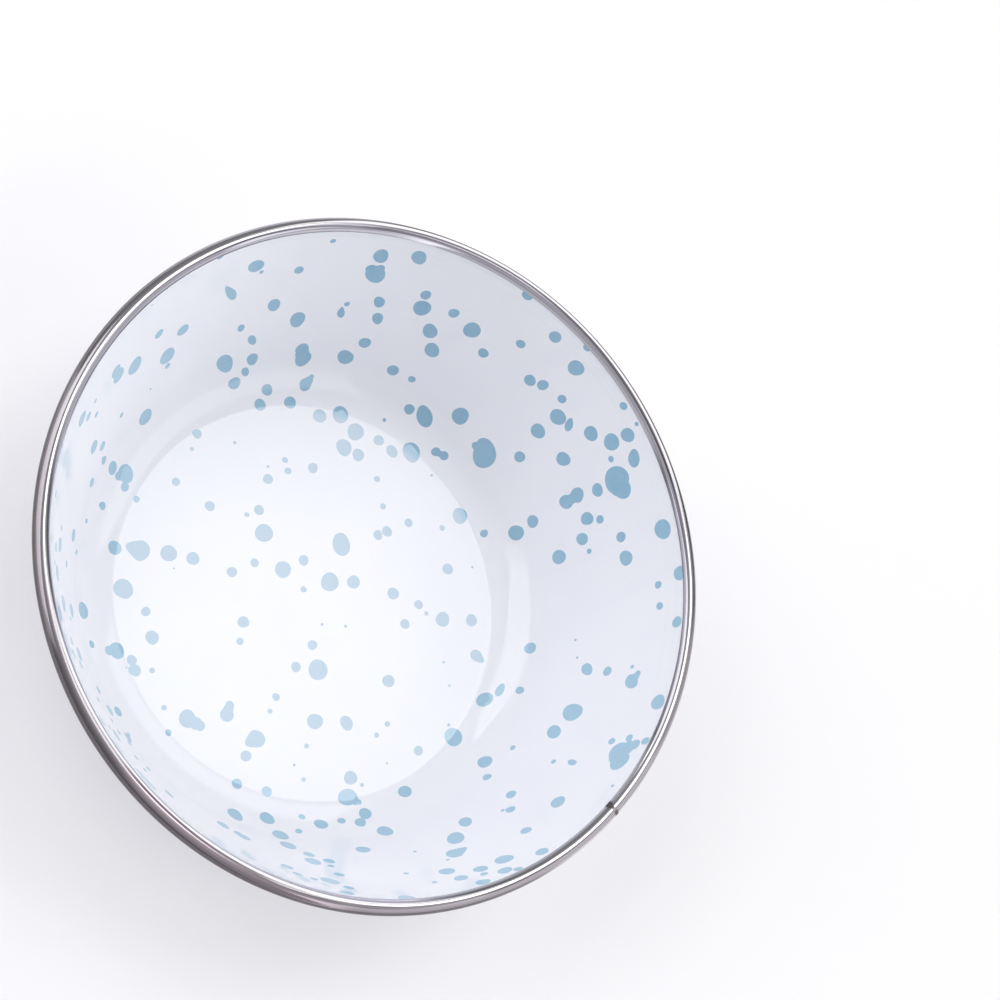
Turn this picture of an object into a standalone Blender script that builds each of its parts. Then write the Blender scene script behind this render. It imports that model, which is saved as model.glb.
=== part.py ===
"""Enamelled steel soup bowl with a rolled stainless rim band.

The bowl is one line turned round the Z axis. That line is the face of the
inside enamel, and every layer of the wall is an offset of it: inside enamel,
pressed steel, outside enamel. At the top the layers roll outwards round the
centre of the bead, and a C-shaped stainless strip closes over the roll, its
two ends butted at a seam. Metres, +Z up, origin on the table at the centre
of the base.
"""

from math import asin, atan2, cos, hypot, pi, radians, sin

import bmesh
import bpy

# Driving dimensions: the whole bowl
RIM_DIAMETER = 0.1525
HEIGHT = 0.0490
FLOOR_DIAMETER = 0.0886
CORNER_RADIUS = 0.0140
WALL_RADIUS = 0.200

# Driving dimensions: the layers of the wall
STEEL_THICKNESS = 0.0007
COAT_THICKNESS = 0.00025
BOND_GAP = 0.00005

# Driving dimensions: the rolled lip and the band round it
ROLL_CORE_RADIUS = 0.0001
ROLL_END_ANGLE = radians(70)
BAND_THICKNESS = 0.00035
BAND_FIT = 0.0001
BAND_LIP_ANGLE = radians(152)
SEAM_GAP = 0.0008
SEAM_AZIMUTH = radians(14)

# Facets
TURN_STEPS = 60
CORNER_STEPS = 5
WALL_STEPS = 4
ROLL_STEPS = 4
BAND_STEPS = 12
MERGE_DISTANCE = 0.00001
SHARP_ANGLE = radians(40)

# Worked out from the driving dimensions
WALL_THICKNESS = 2 * COAT_THICKNESS + 2 * BOND_GAP + STEEL_THICKNESS
ROLL_RADIUS = ROLL_CORE_RADIUS + WALL_THICKNESS
BAND_INNER_RADIUS = ROLL_RADIUS + BAND_FIT
BEAD_RADIUS = BAND_INNER_RADIUS + BAND_THICKNESS
BEAD_CENTRE = (RIM_DIAMETER / 2 - BEAD_RADIUS, HEIGHT - BEAD_RADIUS)
CORNER_CENTRE = (FLOOR_DIAMETER / 2, WALL_THICKNESS + CORNER_RADIUS)

# How deep each layer lies under the face of the inside enamel
STEEL_DEPTH = COAT_THICKNESS + BOND_GAP
OUTER_COAT_DEPTH = STEEL_DEPTH + STEEL_THICKNESS + BOND_GAP


def clear_scene():
    """Remove every object and collection of the scene."""
    for scene_object in list(bpy.data.objects):
        bpy.data.objects.remove(scene_object, do_unlink=True)
    for collection in list(bpy.data.collections):
        bpy.data.collections.remove(collection)


def make_collection(name):
    """Add an empty collection to the scene."""
    collection = bpy.data.collections.new(name)
    bpy.context.scene.collection.children.link(collection)
    return collection


def make_material(name, colour, roughness, metallic):
    """Make a Principled material with one colour."""
    material = bpy.data.materials.new(name)
    material.use_nodes = True
    shader = material.node_tree.nodes["Principled BSDF"]
    shader.inputs["Base Color"].default_value = (*colour, 1.0)
    shader.inputs["Roughness"].default_value = roughness
    shader.inputs["Metallic"].default_value = metallic
    return material


def wall_centre():
    """Centre of the wall's large arc, which meets the corner and the roll without a kink.

    The corner lies inside the arc and the roll lies outside it, so the centre
    is WALL_RADIUS - CORNER_RADIUS from one and WALL_RADIUS + ROLL_RADIUS from
    the other, on the side of the bowl's axis.
    """
    from_corner = WALL_RADIUS - CORNER_RADIUS
    from_roll = WALL_RADIUS + ROLL_RADIUS
    across = BEAD_CENTRE[0] - CORNER_CENTRE[0]
    up = BEAD_CENTRE[1] - CORNER_CENTRE[1]
    apart = hypot(across, up)
    along = (from_corner ** 2 - from_roll ** 2 + apart ** 2) / (2 * apart)
    aside = (from_corner ** 2 - along ** 2) ** 0.5
    radius = CORNER_CENTRE[0] + (along * across - aside * up) / apart
    height = CORNER_CENTRE[1] + (along * up + aside * across) / apart
    return radius, height


def slope_between(centre, other):
    """Slope of the wall line where two touching arcs with these centres meet."""
    return atan2(other[0] - centre[0], centre[1] - other[1])


def arc_points(centre, radius, start, end, steps):
    """Points from slope start to slope end on an arc; a negative radius turns outwards."""
    points = []
    for step in range(steps + 1):
        slope = start + (end - start) * step / steps
        points.append((centre[0] + radius * sin(slope), centre[1] - radius * cos(slope)))
    return points


def layer_line(depth):
    """The wall line at a depth under the inside face, from the axis to the end of the roll."""
    centre = wall_centre()
    foot_slope = slope_between(centre, CORNER_CENTRE)
    roll_slope = slope_between(centre, BEAD_CENTRE)
    end_slope = ROLL_END_ANGLE - pi / 2
    line = [(0.0, WALL_THICKNESS - depth)]
    line += arc_points(CORNER_CENTRE, CORNER_RADIUS + depth, 0.0, foot_slope, CORNER_STEPS)
    line += arc_points(centre, WALL_RADIUS + depth, foot_slope, roll_slope, WALL_STEPS)[1:]
    line += arc_points(BEAD_CENTRE, depth - ROLL_RADIUS, roll_slope, end_slope, ROLL_STEPS)[1:]
    return line


def band_section():
    """C-shaped section of the rim strip, from its inside lip over the top to the outer wall."""
    roll_slope = slope_between(wall_centre(), BEAD_CENTRE)
    toe_angle = roll_slope - pi + asin((BAND_FIT - ROLL_CORE_RADIUS) / BAND_INNER_RADIUS)
    outer = []
    inner = []
    for step in range(BAND_STEPS + 1):
        angle = BAND_LIP_ANGLE + (toe_angle - BAND_LIP_ANGLE) * step / BAND_STEPS
        for points, radius in ((outer, BEAD_RADIUS), (inner, BAND_INNER_RADIUS)):
            points.append((BEAD_CENTRE[0] + radius * cos(angle), BEAD_CENTRE[1] + radius * sin(angle)))
    return outer + inner[::-1]


def turned_object(name, section, closed, collection, material):
    """Turn a section in the XZ plane round Z into one named solid."""
    shape = bmesh.new()
    corners = [shape.verts.new((radius, 0.0, height)) for radius, height in section]
    for first, second in zip(corners, corners[1:]):
        shape.edges.new((first, second))
    if closed:
        shape.edges.new((corners[-1], corners[0]))
    mesh = bpy.data.meshes.new(name)
    shape.to_mesh(mesh)
    shape.free()
    mesh.materials.append(material)
    part = bpy.data.objects.new(name, mesh)
    collection.objects.link(part)
    screw = part.modifiers.new("Turn", "SCREW")
    screw.axis = "Z"
    screw.angle = 2 * pi
    screw.steps = TURN_STEPS
    screw.render_steps = TURN_STEPS
    screw.use_merge_vertices = True
    screw.merge_threshold = MERGE_DISTANCE
    screw.use_smooth_shade = True
    return part


def layer_object(name, near_depth, far_depth, collection, material):
    """One layer of the wall, between two depths under the inside face."""
    near_line = layer_line(near_depth)
    far_line = layer_line(far_depth)
    return turned_object(name, near_line + far_line[::-1], False, collection, material)


def seam_cutter(collection):
    """Thin block through the band's section where its two ends meet."""
    reach = 3 * BEAD_RADIUS
    bpy.ops.mesh.primitive_cube_add(size=1.0)
    cutter = bpy.context.object
    cutter.name = "seam_cutter"
    cutter.scale = (reach, SEAM_GAP, reach)
    cutter.rotation_euler = (0.0, 0.0, SEAM_AZIMUTH)
    cutter.location = (
        BEAD_CENTRE[0] * cos(SEAM_AZIMUTH),
        BEAD_CENTRE[0] * sin(SEAM_AZIMUTH),
        BEAD_CENTRE[1],
    )
    for home in list(cutter.users_collection):
        home.objects.unlink(cutter)
    collection.objects.link(cutter)
    cutter.display_type = "WIRE"
    cutter.hide_render = True
    return cutter


def cut(part, cutter):
    """Subtract a cutter from a part."""
    boolean = part.modifiers.new("Seam", "BOOLEAN")
    boolean.operation = "DIFFERENCE"
    boolean.solver = "EXACT"
    boolean.object = cutter


def shade_round(part):
    """Shade a turned part smooth, with its real edges left sharp."""
    part.data.shade_smooth()
    part.data.set_sharp_from_angle(angle=SHARP_ANGLE)


def build_bowl():
    """Build the bowl's pieces, from the steel outwards."""
    clear_scene()
    bowl = make_collection("enamel_soup_bowl")
    cutters = make_collection("cutters")
    steel = make_material("bare_steel", (0.32, 0.31, 0.30), 0.45, 1.0)
    white = make_material("white_enamel", (0.82, 0.84, 0.88), 0.10, 0.0)
    stainless = make_material("stainless", (0.55, 0.53, 0.51), 0.28, 1.0)

    layer_object("steel_shell", STEEL_DEPTH, STEEL_DEPTH + STEEL_THICKNESS, bowl, steel)
    layer_object("inner_enamel", 0.0, COAT_THICKNESS, bowl, white)
    layer_object("outer_enamel", OUTER_COAT_DEPTH, WALL_THICKNESS, bowl, white)
    band = turned_object("rim_band", band_section(), True, bowl, stainless)
    cut(band, seam_cutter(cutters))
    for part in bowl.objects:
        shade_round(part)


build_bowl()
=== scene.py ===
"""Looks of an enamelled steel soup bowl with a rolled stainless rim.

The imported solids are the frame. Each layer of the bowl is turned again here
from the same line as the solids, fine enough to look round, and the blue drops
are laid on the enamel as thin closed plates. Metres, +Z up, origin on the
table under the middle of the base.
"""

import logging
import random
from dataclasses import dataclass, field
from enum import Enum
from math import asin, atan2, cos, hypot, pi, radians, sin, sqrt
from typing import Any, Iterable, Optional, Sequence, Union

import bpy
from mathutils import Matrix, Vector


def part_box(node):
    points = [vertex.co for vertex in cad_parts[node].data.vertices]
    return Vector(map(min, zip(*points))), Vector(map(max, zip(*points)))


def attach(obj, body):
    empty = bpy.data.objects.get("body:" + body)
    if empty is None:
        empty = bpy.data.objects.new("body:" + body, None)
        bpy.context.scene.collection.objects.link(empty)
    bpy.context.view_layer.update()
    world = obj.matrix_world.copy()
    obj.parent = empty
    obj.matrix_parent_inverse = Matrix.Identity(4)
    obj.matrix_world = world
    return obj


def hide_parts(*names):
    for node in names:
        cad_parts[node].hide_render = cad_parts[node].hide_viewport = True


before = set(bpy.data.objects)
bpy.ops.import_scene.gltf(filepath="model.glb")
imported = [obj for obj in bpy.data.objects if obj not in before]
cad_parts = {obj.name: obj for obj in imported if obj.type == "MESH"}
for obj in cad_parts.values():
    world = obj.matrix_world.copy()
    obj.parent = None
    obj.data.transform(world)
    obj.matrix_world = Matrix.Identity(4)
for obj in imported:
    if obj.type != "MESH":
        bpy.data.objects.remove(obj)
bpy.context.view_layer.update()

LOG = logging.getLogger("soup_bowl")
BODY = "root"
MERGE_DISTANCE = 1e-6
TINY = 1e-6
PROBE = 0.0002
LIFT = 0.001
SHARP_ANGLE = radians(32)

Point = tuple[float, float]
Colour = tuple[float, float, float]
Operand = Union["Signal", float]


class Slot(Enum):
    """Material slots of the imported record."""

    STEEL = "shell_steel"
    INSIDE = "inside_enamel"
    OUTSIDE = "outside_enamel"
    RIM = "rim_stainless"


class Face(Enum):
    """The two enamelled faces of the wall."""

    INSIDE = "inside"
    OUTSIDE = "outside"


class Signal:
    """A value socket on which shader maths is written as Python arithmetic."""

    def __init__(self, sheet: "Sheet", socket: bpy.types.NodeSocket) -> None:
        """Wrap one output socket of a sheet."""
        self.sheet = sheet
        self.socket = socket

    def __add__(self, other: Operand) -> "Signal":
        """Sum of two values."""
        return self.sheet.math("ADD", self, other)

    def __sub__(self, other: Operand) -> "Signal":
        """Difference of two values."""
        return self.sheet.math("SUBTRACT", self, other)

    def __mul__(self, other: Operand) -> "Signal":
        """Product of two values."""
        return self.sheet.math("MULTIPLY", self, other)

    def __truediv__(self, other: Operand) -> "Signal":
        """Quotient of two values."""
        return self.sheet.math("DIVIDE", self, other)

    def __rsub__(self, other: float) -> "Signal":
        """A plain number less this value."""
        return self.sheet.math("SUBTRACT", other, self)

    def __rtruediv__(self, other: float) -> "Signal":
        """A plain number divided by this value."""
        return self.sheet.math("DIVIDE", other, self)

    def __pow__(self, power: float) -> "Signal":
        """This value raised to a power."""
        return self.sheet.math("POWER", self, power)

    __radd__ = __add__
    __rmul__ = __mul__


class Sheet:
    """The node sheet of one material or of the world."""

    def __init__(self, tree: bpy.types.NodeTree) -> None:
        """Take over a node tree and clear it."""
        self.tree = tree
        tree.nodes.clear()

    def node(
        self,
        kind: str,
        settings: Optional[dict[str, Any]] = None,
        inputs: Optional[dict[Union[str, int], Any]] = None,
    ) -> bpy.types.Node:
        """Add one node.

        Args:
            kind: The node's type.
            settings: Its own settings.
            inputs: Values or links of its sockets, by name or number.

        Returns:
            The new node.
        """
        made = self.tree.nodes.new(kind)
        for name, value in (settings or {}).items():
            setattr(made, name, value)
        for name, value in (inputs or {}).items():
            self.feed(made.inputs[name], value)
        return made

    def feed(self, socket: bpy.types.NodeSocket, value: Any) -> None:
        """Link or set one input socket.

        Args:
            socket: The input socket.
            value: A signal or output socket to link, or a plain value to set.
        """
        if isinstance(value, Signal):
            self.tree.links.new(value.socket, socket)
        elif isinstance(value, bpy.types.NodeSocket):
            self.tree.links.new(value, socket)
        elif isinstance(value, tuple) and len(value) == 3 and socket.type == "RGBA":
            socket.default_value = (*value, 1.0)
        else:
            socket.default_value = value

    def math(self, operation: str, *operands: Operand) -> Signal:
        """One Math node as a signal."""
        made = self.node("ShaderNodeMath", {"operation": operation}, dict(enumerate(operands)))
        return Signal(self, made.outputs[0])

    def step(self, value: Signal, start: float, end: float) -> Signal:
        """Smooth step of a value.

        Args:
            value: What is compared.
            start: Where the step is still 0.
            end: Where the step has reached 1.

        Returns:
            A signal from 0 to 1.
        """
        inputs = {"Value": value, "From Min": start, "From Max": end}
        made = self.node("ShaderNodeMapRange", {"interpolation_type": "SMOOTHSTEP"}, inputs)
        return Signal(self, made.outputs["Result"])

    def axes(self, vector: bpy.types.NodeSocket) -> tuple[Signal, Signal, Signal]:
        """The three parts of a vector as signals."""
        parts = self.node("ShaderNodeSeparateXYZ", None, {"Vector": vector})
        return tuple(Signal(self, part) for part in parts.outputs)

    def vector(self, x: Operand, y: Operand, z: Operand) -> bpy.types.NodeSocket:
        """A vector socket joined from three values."""
        return self.node("ShaderNodeCombineXYZ", None, {"X": x, "Y": y, "Z": z}).outputs[0]

    def noise(self, vector: bpy.types.NodeSocket, scale: float, detail: float) -> Signal:
        """Noise round 0.5.

        Args:
            vector: The coordinates.
            scale: Features per unit of the coordinates.
            detail: Number of finer octaves.

        Returns:
            The noise value.
        """
        made = self.node("ShaderNodeTexNoise", None, {"Vector": vector, "Scale": scale, "Detail": detail})
        return Signal(self, made.outputs[0])

    def blend(self, share: Operand, first: Any, second: Any) -> bpy.types.NodeSocket:
        """Mix two colours.

        Args:
            share: How much of the second colour shows.
            first: Colour or colour socket.
            second: Colour or colour socket.

        Returns:
            The mixed colour's socket.
        """
        # Inputs 6 and 7 and output 2 are the node's colour sockets
        inputs = {"Factor": share, 6: first, 7: second}
        return self.node("ShaderNodeMix", {"data_type": "RGBA"}, inputs).outputs[2]

    def bump(self, height: Signal, distance: float, strength: float) -> bpy.types.NodeSocket:
        """A bumped normal.

        Args:
            height: The relief, about 0 to 1.
            distance: Depth of the relief in metres.
            strength: How much of it shows.

        Returns:
            The normal's socket.
        """
        inputs = {"Height": height, "Distance": distance, "Strength": strength}
        return self.node("ShaderNodeBump", None, inputs).outputs[0]

    def place(self) -> bpy.types.NodeSocket:
        """Object coordinates, which are metres in the bowl's frame."""
        return self.node("ShaderNodeTexCoord").outputs["Object"]

    def reach(self, x: Signal, y: Signal) -> Signal:
        """Distance of a place from the bowl's axis."""
        return self.math("SQRT", x * x + y * y)

    def bead_angle(self, reach: Signal, z: Signal, centre: Point) -> Signal:
        """Angle round the middle of the rim bead's section: 0 is outwards, 90 degrees is up."""
        return self.math("ARCTAN2", z - centre[1], reach - centre[0])

    def surface(self, inputs: dict[Union[str, int], Any]) -> None:
        """Close the sheet with one Principled surface.

        Args:
            inputs: Values or links of the shader's sockets.
        """
        shader = self.node("ShaderNodeBsdfPrincipled", None, inputs)
        self.node("ShaderNodeOutputMaterial", None, {"Surface": shader.outputs[0]})


@dataclass(frozen=True)
class Finish:
    """A finish that lays out its own node sheet.

    Attributes:
        name: Name of the material.
    """

    name: str

    def material(self) -> bpy.types.Material:
        """Make the finish.

        Returns:
            The finished material.
        """
        made = bpy.data.materials.new(self.name)
        made.use_nodes = True
        self.paint(Sheet(made.node_tree))
        return made

    def paint(self, sheet: Sheet) -> None:
        """Lay out the nodes on an empty sheet."""
        raise NotImplementedError


@dataclass(frozen=True)
class WhiteEnamel(Finish):
    """Fired white enamel: glassy, faintly blue, with kiln specks and a soft orange peel.

    Attributes:
        haze_and_shade_start: Height at which the wall starts to be hazy from rubbing and painted darker, a
            painted shade under the rim.
        haze_and_shade_end: Height at which both are strongest.
        haze_and_shade_share: How much of the darker colour shows there.
        haze_dulling: How much rougher it is there.
        speck_share: How much of a speck's colour shows.
    """

    white: Colour = (0.811, 0.820, 0.866)
    shade: Colour = (0.797, 0.807, 0.854)
    speck: Colour = (0.30, 0.31, 0.34)
    haze_and_shade: Colour = (0.70, 0.715, 0.76)
    gloss: float = 0.008
    unevenness: float = 0.004
    ior: float = 1.52
    haze_and_shade_start: float = 0.0400
    haze_and_shade_end: float = 0.0475
    haze_and_shade_share: float = 0.35
    haze_dulling: float = 0.08
    ring_scale: float = 2.0
    ring_height_scale: float = 900.0
    speck_cells: float = 150.0
    speck_share: float = 0.6

    def paint(self, sheet: Sheet) -> None:
        """Lay out clouds, the hazy and painted-shade band near the rim, specks and orange peel.

        Args:
            sheet: The empty sheet.
        """
        place = sheet.place()
        x, y, z = sheet.axes(place)
        clouds = sheet.noise(place, scale=34.0, detail=3.0)
        colour = sheet.blend(sheet.step(clouds, start=0.35, end=0.68), self.white, self.shade)

        # Band near the rim: hazy from rubbing in the roughness, painted shade under the rim in the colour
        reach = sheet.reach(x, y)
        east, north = x / reach * self.ring_scale, y / reach * self.ring_scale
        rings = sheet.noise(sheet.vector(east, north, z * self.ring_height_scale), scale=1.0, detail=3.0)
        banded = sheet.step(z, self.haze_and_shade_start, self.haze_and_shade_end) * sheet.step(rings, start=0.50, end=0.72)
        colour = sheet.blend(banded * self.haze_and_shade_share, colour, self.haze_and_shade)

        cells = sheet.node("ShaderNodeTexVoronoi", None, {"Vector": place, "Scale": self.speck_cells})
        chance = sheet.axes(cells.outputs["Color"])[0]
        dot = 1.0 - sheet.step(Signal(sheet, cells.outputs["Distance"]), start=0.010, end=0.030)
        specks = dot * sheet.step(chance, start=0.935, end=0.95)
        colour = sheet.blend(specks * self.speck_share, colour, self.speck)

        peel = sheet.noise(place, scale=140.0, detail=1.0)
        fine = sheet.step(sheet.noise(place, scale=2400.0, detail=2.0), start=0.6, end=0.8)
        dulled = banded * self.haze_dulling
        sheet.surface({
            "Base Color": colour,
            "Roughness": self.gloss + clouds * self.unevenness + dulled + fine * self.unevenness,
            "IOR": self.ior,
            "Normal": sheet.bump(peel, distance=0.00002, strength=0.10),
        })


@dataclass(frozen=True)
class DropEnamel(Finish):
    """Blue enamel of the drops: painted darker on the far wall as shade, thin and pale where it spread on
    the floor.

    Attributes:
        blue: Colour on the near wall.
        shaded_blue: Colour on the far wall, a painted shade.
        thin: Colour where it is thinned out.
        spread: Colour on the floor.
        shade_azimuth: Side of the bowl on which the drops are painted darker as shade.
        near: Distance towards that side at which the painted shade starts.
        far: Distance at which it is darkest.
        drift: How far the painted shade wanders from drop to drop.
        corner: Width of the change from the floor's colour to the wall's.
    """

    blue: Colour = (0.335, 0.520, 0.650)
    shaded_blue: Colour = (0.238, 0.425, 0.570)
    thin: Colour = (0.345, 0.535, 0.655)
    spread: Colour = (0.392, 0.512, 0.622)
    gloss: float = 0.010
    unevenness: float = 0.006
    ior: float = 1.70
    shade_azimuth: float = radians(120)
    near: float = 0.012
    far: float = 0.060
    drift: float = 0.02
    floor_edge: float = 0.0445
    corner: float = 0.0017
    thin_grain: float = 0.22
    thin_edge: float = 0.12
    edge_width: float = 0.22

    def paint(self, sheet: Sheet) -> None:
        """Lay out the colour by place, grain and edge.

        Args:
            sheet: The empty sheet.
        """
        place = sheet.place()
        x, y, _ = sheet.axes(place)
        batch = sheet.noise(place, scale=70.0, detail=1.0)
        grain = sheet.noise(place, scale=900.0, detail=3.0)
        # Painted shade: the drops are darker towards the far wall
        ahead = towards(x, y, self.shade_azimuth)
        depth = sheet.step(ahead + (batch - 0.5) * self.drift, self.near, self.far)
        colour = sheet.blend(depth, self.blue, self.shaded_blue)
        on_floor = 1.0 - sheet.step(sheet.reach(x, y), self.floor_edge, self.floor_edge + self.corner)
        colour = sheet.blend(on_floor, colour, self.spread)
        colour = sheet.blend(sheet.step(grain, start=0.50, end=0.75) * self.thin_grain, colour, self.thin)
        pool = sheet.node("ShaderNodeAttribute", {"attribute_name": Spatter.POOL})
        edge = 1.0 - sheet.step(Signal(sheet, pool.outputs["Fac"]), 0.0, self.edge_width)
        sheet.surface({
            "Base Color": sheet.blend(edge * self.thin_edge, colour, self.thin),
            "Roughness": self.gloss + grain * self.unevenness,
            "IOR": self.ior,
            "Normal": sheet.bump(grain, distance=0.000005, strength=0.1),
        })


def towards(east: Signal, north: Signal, azimuth: float) -> Signal:
    """How far a place or a direction reaches towards an azimuth; less than 0 is away from it."""
    return east * cos(azimuth) + north * sin(azimuth)


@dataclass(frozen=True)
class Streak:
    """A stretch of the rim strip painted with a reflection tone of its own, beside the painted highlight
    line.

    Attributes:
        azimuth: Middle of the stretch, in degrees.
        reach: How far it runs to each side of that, in degrees.
        middle: Its angle from the painted highlight line; inwards is positive. Degrees.
        half: Half of its width, in degrees.
        tone: Its painted reflection tone.
    """

    azimuth: float
    reach: float
    middle: float
    half: float
    tone: Colour

    FULL = 0.6
    SOFT = 0.05

    def share(self, sheet: Sheet, east: Signal, north: Signal, off: Signal) -> Signal:
        """How much of the streak shows.

        Args:
            sheet: The rim's sheet.
            east: First part of the direction from the bowl's axis.
            north: Second part of that direction.
            off: Angle from the painted highlight line.

        Returns:
            1 on the streak, 0 off it.
        """
        end = cos(radians(self.reach))
        start = cos(radians(self.FULL * self.reach))
        along = sheet.step(towards(east, north, radians(self.azimuth)), end, start)
        aside = sheet.math("ABSOLUTE", off - radians(self.middle))
        half = radians(self.half)
        return along * (1.0 - sheet.step(aside, half - self.SOFT, half + self.SOFT))


STREAKS = (
    # Painted reflection tones on the inside of the strip, from the far side round to the near one
    Streak(108, 44, 65, 36, (0.520, 0.500, 0.580)),  # painted sheen on the far slope
    Streak(120, 34, 34, 7, (0.320, 0.305, 0.345)),  # dimmer painted reflection above it
    Streak(118, 44, 20, 8, (0.110, 0.103, 0.118)),  # painted dark reflection beside the highlight line
    Streak(95, 26, 22, 8.5, (0.052, 0.047, 0.055)),  # its deepest stretch
    Streak(164, 16, 31, 8, (0.450, 0.440, 0.490)),  # painted pale reflection on the west
    Streak(21, 8, 28, 5, (0.620, 0.600, 0.660)),  # second painted highlight at the seam
    Streak(-13, 16, 33, 7, (0.600, 0.590, 0.630)),  # its end on the south-east
    # Painted reflection tones on the outside of the strip
    Streak(42, 18, -22, 9, (0.160, 0.150, 0.160)),  # painted dark reflection under the highlight line
    Streak(28, 34, -90, 40, (0.720, 0.700, 0.730)),  # painted bright reflection on the east limb
    Streak(108, 52, -70, 57, (0.046, 0.040, 0.044)),  # painted dark reflection on the far limb
    Streak(-27, 16, -20, 7, (0.480, 0.450, 0.485)),  # painted pale reflection on the south-east
    Streak(-45, 10, -32, 5, (0.420, 0.390, 0.420)),  # its fainter end
    Streak(-60, 24, -50, 22, (0.430, 0.365, 0.405)),  # painted reflection tone on the near flank
    Streak(-40, 12, -13, 5, (0.190, 0.175, 0.188)),  # painted shade under the near highlight line
    Streak(-66, 18, -20, 8, (0.105, 0.090, 0.100)),  # painted dark reflection on the near side
)


@dataclass(frozen=True)
class RimStainless(Finish):
    """Drawn stainless strip: dull sides with painted reflection tones, a painted highlight line, darkening
    at toe and seam.

    Attributes:
        bead_centre: Radius and height of the middle of the bead's section.
        seam_azimuth: Where the ends of the strip meet.
        highlight_angle: Angle of the painted highlight line, where it lies level.
        highlight_azimuth: Side of the bowl on which the line lies lowest outside.
        low: How far it lies down there.
        lean_azimuth: Side on which it lies a little low.
        lean: How far it lies down there.
        raised_azimuth: Side on which it lies highest, towards the inside.
        raised: How far it lies up there.
        highlight_half: Half of the painted highlight line's width.
        widening: How much wider the painted highlight line is on the side of highlight_azimuth.
        wander: How far its edges wander.
        bright_azimuth: Side on which the inside of the strip is painted paler, a painted reflection tone.
        dark_lip_azimuth: Side on which the inside lip is painted dark, a painted shade.
        lip_start: Angle at which the lip's painted reflection tones start.
        seam_share: How much of the darkening shows at the seam.
        smudge_crown: Half of the darkening's length there, on the crown.
        smudge_inside: What the inside adds to it.
        smudge_outside: What the flank adds to it.
    """

    bead_centre: Point
    seam_azimuth: float
    inside: Colour = (0.375, 0.362, 0.388)
    flank: Colour = (0.276, 0.256, 0.280)
    painted_highlight: Colour = (0.545, 0.535, 0.550)
    tarnish_and_reflection: Colour = (0.222, 0.209, 0.248)
    near_shade: Colour = (0.105, 0.092, 0.098)
    darkening: Colour = (0.045, 0.040, 0.042)
    lip_sheen: Colour = (0.70, 0.69, 0.74)
    lip_glint: Colour = (0.88, 0.86, 0.93)
    west_lip: Colour = (0.330, 0.322, 0.350)
    lip_shade: Colour = (0.170, 0.164, 0.188)
    gloss: float = 0.075
    line_dulling: float = 0.07
    grime_dulling: float = 0.3
    highlight_angle: float = radians(98)
    highlight_azimuth: float = radians(126)
    low: float = radians(30)
    low_power: float = 2.8
    lean_azimuth: float = radians(62)
    lean: float = radians(10)
    lean_power: float = 8.0
    raised_azimuth: float = radians(-75)
    raised: float = radians(24)
    raised_power: float = 6.4
    highlight_half: float = radians(9.5)
    widening: float = radians(1.5)
    widening_power: float = 8.0
    wander: float = 0.08
    bright_azimuth: float = radians(28)
    dark_lip_azimuth: float = radians(54)
    lip_start: float = radians(130)
    lip_soft: float = 0.07
    seam_share: float = 0.9
    smudge_crown: float = 0.0002
    smudge_inside: float = 0.00085
    smudge_outside: float = 0.0004

    def paint(self, sheet: Sheet) -> None:
        """Lay out the drawn lines, the painted reflection tones round the bead, the painted highlight line,
        the lip and the darkening.

        Args:
            sheet: The empty sheet.
        """
        place = sheet.place()
        x, y, z = sheet.axes(place)
        reach = sheet.reach(x, y)
        angle = sheet.bead_angle(reach, z, self.bead_centre)
        east, north = x / reach, y / reach
        lines = sheet.noise(sheet.vector(east * 1.6, north * 1.6, angle * 5.0), scale=2.2, detail=4.0)
        hairs = sheet.noise(sheet.vector(east * 5.0, north * 5.0, angle * 26.0), scale=2.0, detail=2.0)
        patches = sheet.noise(place, scale=60.0, detail=3.0)

        ahead, leaning, raised = (
            sheet.math("MAXIMUM", towards(east, north, azimuth), 0.0)
            for azimuth in (self.highlight_azimuth, self.lean_azimuth, self.raised_azimuth)
        )
        low = self.low * ahead ** self.low_power + self.lean * leaning ** self.lean_power
        off = angle - (self.highlight_angle - low + self.raised * raised ** self.raised_power)

        # Tones of the inside and the flank change round the bowl: partly the steel's dull tone, partly
        # painted reflection
        paler_side = sheet.step(towards(east, north, self.bright_azimuth), start=0.72, end=0.92)
        slope = sheet.blend(paler_side, self.tarnish_and_reflection, self.inside)
        west = sheet.step(-1.0 * east, start=0.55, end=0.95)
        flank = sheet.blend(west, self.flank, self.inside)
        colour = sheet.blend(sheet.step(off, start=-0.05, end=0.05), flank, slope)
        # Painted shadow on the near limb: a darker reflection of the shaded floor
        near_limb = sheet.step(-1.0 * north, start=-0.10, end=0.35)
        near_limb = near_limb * (1.0 - sheet.step(angle, start=0.15, end=1.50))
        colour = sheet.blend(near_limb * (0.8 + 0.2 * patches), colour, self.near_shade)
        # Painted reflection tones along the bead
        for streak in STREAKS:
            colour = sheet.blend(streak.share(sheet, east, north, off), colour, streak.tone)

        # Painted highlight: one bright line along the crown, placed where the lamp's reflection lies
        width = self.highlight_half + self.widening * ahead ** self.widening_power + (lines - 0.5) * self.wander
        banded = 1.0 - sheet.step(sheet.math("ABSOLUTE", off) - width, start=-0.04, end=0.04)
        colour = sheet.blend(banded, colour, self.painted_highlight)
        # The inside lip gets painted reflection and shade tones
        lip = sheet.step(angle, self.lip_start - self.lip_soft, self.lip_start + self.lip_soft)
        colour = sheet.blend(lip, colour, self.lip_tone(sheet, east, north))

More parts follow.
